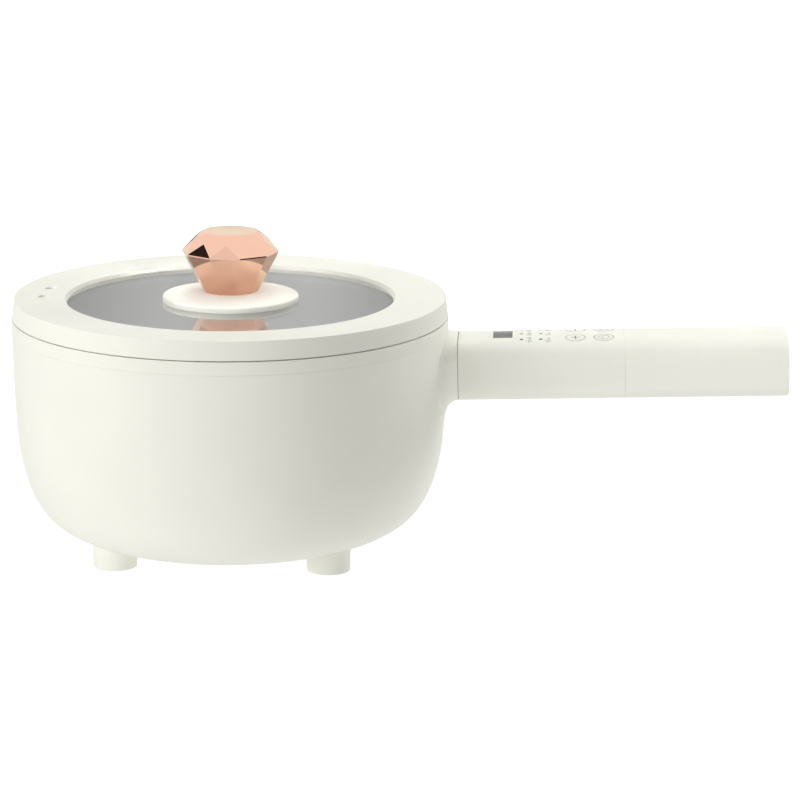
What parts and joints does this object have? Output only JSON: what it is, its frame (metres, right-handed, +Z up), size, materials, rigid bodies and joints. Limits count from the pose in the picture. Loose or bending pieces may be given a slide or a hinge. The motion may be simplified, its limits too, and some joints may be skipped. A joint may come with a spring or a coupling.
{
  "type": "electric cooking pot",
  "caption": "Round electric cooking pot with a stainless inner bowl, a straight control handle with a power inlet at its end, and a lift-off glass lid with a faceted knob.",
  "frame": {"origin": "on the pot's axis, in the plane the four feet stand on", "axes": "+Z up along the pot's axis, +X from the pot's axis along the handle, +Y to the left of the handle"},
  "size_m": [0.3572, 0.2012, 0.1467],
  "materials": {
    "ivory_plastic": "satin moulded plastic",
    "rose_gold": "polished rose-gold plating",
    "glass": "clear tempered glass",
    "stainless": "brushed stainless",
    "steel_hardware": "zinc-plated screws and pins",
    "silicone": "translucent white silicone",
    "foot_rubber": "soft grey rubber",
    "aluminium": "cast aluminium",
    "display_grey": "smoked grey acrylic",
    "light_pipe": "clear acrylic",
    "dark_plastic": "black moulded plastic",
    "board": "green circuit board",
    "copper_wire": "insulated wire"
  },
  "bodies": {
    "pot": {"bottom_cover": "ivory_plastic", "bottom_screws": "steel_hardware", "control_board": "board", "display_module": "dark_plastic", "display_window": "display_grey", "feet": "ivory_plastic", "foot_pads": "foot_rubber", "foot_screws": "steel_hardware", "handle_bolts": "steel_hardware", "handle_bracket": "steel_hardware", "handle_coupler": "dark_plastic", "handle_grip": "ivory_plastic", "handle_housing": "ivory_plastic", "handle_screws": "steel_hardware", "heat_reflector": "stainless", "heater_element": "steel_hardware", "heater_terminals": "dark_plastic", "heating_plate": "aluminium", "inlet_pins": "steel_hardware", "inlet_socket": "dark_plastic", "inner_pot": "stainless", "led_chips": "board", "light_pipes": "light_pipe", "mains_leads": "copper_wire", "outer_shell": "ivory_plastic", "pot_seal": "silicone", "tact_switches": "dark_plastic", "temperature_sensor": "dark_plastic", "thermal_fuse": "dark_plastic", "thermostat": "dark_plastic", "top_collar": "ivory_plastic", "wire_harness": "copper_wire"},
    "lid": {"lid_ring": "ivory_plastic", "lid_retainer": "ivory_plastic", "lid_gasket": "silicone", "glass_gasket": "silicone", "lid_glass": "glass", "lid_screws": "steel_hardware", "knob_base": "ivory_plastic", "lid_knob": "rose_gold", "knob_washers": "silicone", "knob_backing": "stainless", "knob_screw": "steel_hardware"},
    "button_plus": {"button_plus": "ivory_plastic"},
    "button_minus": {"button_minus": "ivory_plastic"},
    "button_timer": {"button_timer": "ivory_plastic"},
    "button_power": {"button_power": "ivory_plastic"}
  },
  "joints": [
    {"name": "lid_lift", "type": "slide", "parent": "pot", "child": "lid", "axis": [0, 0, 1], "range_m": [0, 0.15]},
    {"name": "button_plus_press", "type": "slide", "parent": "pot", "child": "button_plus", "axis": [0.0302, 0, -0.9995], "range_m": [0, 0.0006], "stiffness_N_per_m": 600},
    {"name": "button_minus_press", "type": "slide", "parent": "pot", "child": "button_minus", "axis": [0.0302, 0, -0.9995], "range_m": [0, 0.0006], "stiffness_N_per_m": 600},
    {"name": "button_timer_press", "type": "slide", "parent": "pot", "child": "button_timer", "axis": [0.0302, 0, -0.9995], "range_m": [0, 0.0006], "stiffness_N_per_m": 600},
    {"name": "button_power_press", "type": "slide", "parent": "pot", "child": "button_power", "axis": [0.0302, 0, -0.9995], "range_m": [0, 0.0006], "stiffness_N_per_m": 600}
  ]
}
